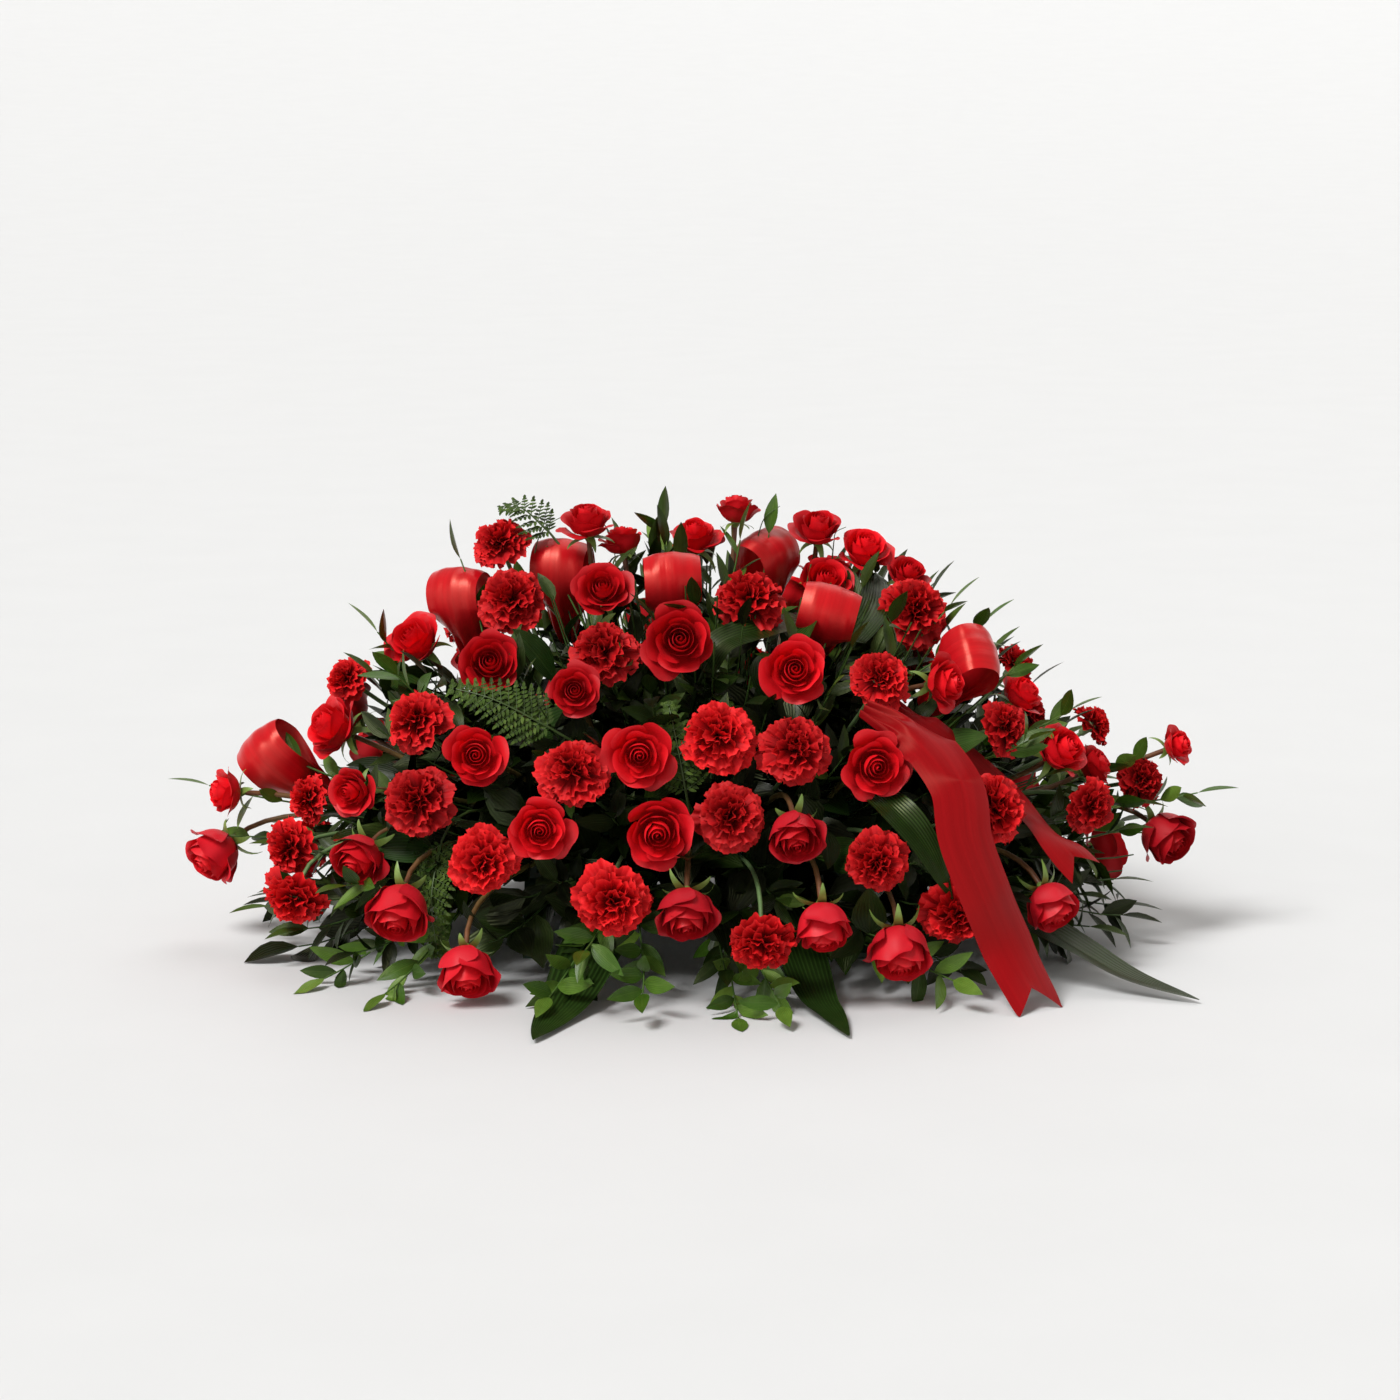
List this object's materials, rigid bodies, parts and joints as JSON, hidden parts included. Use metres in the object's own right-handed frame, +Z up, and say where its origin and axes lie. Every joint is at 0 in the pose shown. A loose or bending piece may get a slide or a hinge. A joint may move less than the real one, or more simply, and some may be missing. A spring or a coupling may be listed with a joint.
{
  "type": "casket spray",
  "caption": "Casket spray of red roses and carnations with ruscus, salal, fern, aspidistra and satin ribbon loops and tails, in floral foam on a footed saddle.",
  "frame": {"origin": "on the surface that the saddle's feet stand on, under the middle of the spray's bounding box", "axes": "+X along the casket, to the right in the picture; -Y faces the viewer; +Z up"},
  "size_m": [1.1157, 0.8967, 0.4673],
  "materials": {
    "rose_petals": "velvety living petals on waxy brown-green stems",
    "carnation_petals": "matte ruffled living petals on grey-green stems",
    "ribbon_satin": "satin weave",
    "ruscus_leaf": "waxy satin leaf",
    "salal_leaf": "tough satin leaf",
    "fern_leaf": "leathery satin leaf",
    "aspidistra_leaf": "glossy ribbed leaf",
    "wet_foam": "open-cell phenolic foam soaked with water",
    "saddle_plastic": "moulded satin",
    "anchor_tape": "smooth film"
  },
  "bodies": {
    "root": {"anchor_tape_left": "anchor_tape", "anchor_tape_right": "anchor_tape", "aspidistra_back_left": "aspidistra_leaf", "aspidistra_back_right": "aspidistra_leaf", "aspidistra_front_left": "aspidistra_leaf", "aspidistra_front_middle": "aspidistra_leaf", "aspidistra_front_right": "aspidistra_leaf", "carnation_bunch_01": "carnation_petals", "carnation_bunch_02": "carnation_petals", "carnation_bunch_03": "carnation_petals", "carnation_bunch_04": "carnation_petals", "carnation_bunch_05": "carnation_petals", "carnation_bunch_06": "carnation_petals", "carnation_bunch_07": "carnation_petals", "carnation_bunch_08": "carnation_petals", "carnation_bunch_09": "carnation_petals", "fern_back_left": "fern_leaf", "fern_back_right": "fern_leaf", "fern_left": "fern_leaf", "fern_low_left": "fern_leaf", "fern_middle": "fern_leaf", "fern_top": "fern_leaf", "floral_foam_left": "wet_foam", "floral_foam_right": "wet_foam", "foam_saddle": "saddle_plastic", "ribbon_loop_far_left": "ribbon_satin", "ribbon_loop_far_right": "ribbon_satin", "ribbon_loop_left": "ribbon_satin", "ribbon_loop_mid_left": "ribbon_satin", "ribbon_loop_mid_right": "ribbon_satin", "ribbon_loop_middle": "ribbon_satin", "ribbon_loop_right": "ribbon_satin", "ribbon_tail_long": "ribbon_satin", "ribbon_tail_short": "ribbon_satin", "rose_bunch_01": "rose_petals", "rose_bunch_02": "rose_petals", "rose_bunch_03": "rose_petals", "rose_bunch_04": "rose_petals", "rose_bunch_05": "rose_petals", "rose_bunch_06": "rose_petals", "rose_bunch_07": "rose_petals", "rose_bunch_08": "rose_petals", "rose_bunch_09": "rose_petals", "rose_bunch_10": "rose_petals", "rose_bunch_11": "rose_petals", "rose_bunch_12": "rose_petals", "ruscus_back_left": "ruscus_leaf", "ruscus_back_right": "ruscus_leaf", "ruscus_left_end": "ruscus_leaf", "ruscus_low_left": "ruscus_leaf", "ruscus_low_middle": "ruscus_leaf", "ruscus_low_right": "ruscus_leaf", "ruscus_right": "ruscus_leaf", "ruscus_right_end": "ruscus_leaf", "ruscus_top": "ruscus_leaf", "ruscus_upper_left": "ruscus_leaf", "ruscus_upper_right": "ruscus_leaf", "salal_back": "salal_leaf", "salal_front": "salal_leaf"}
  },
  "joints": []
}
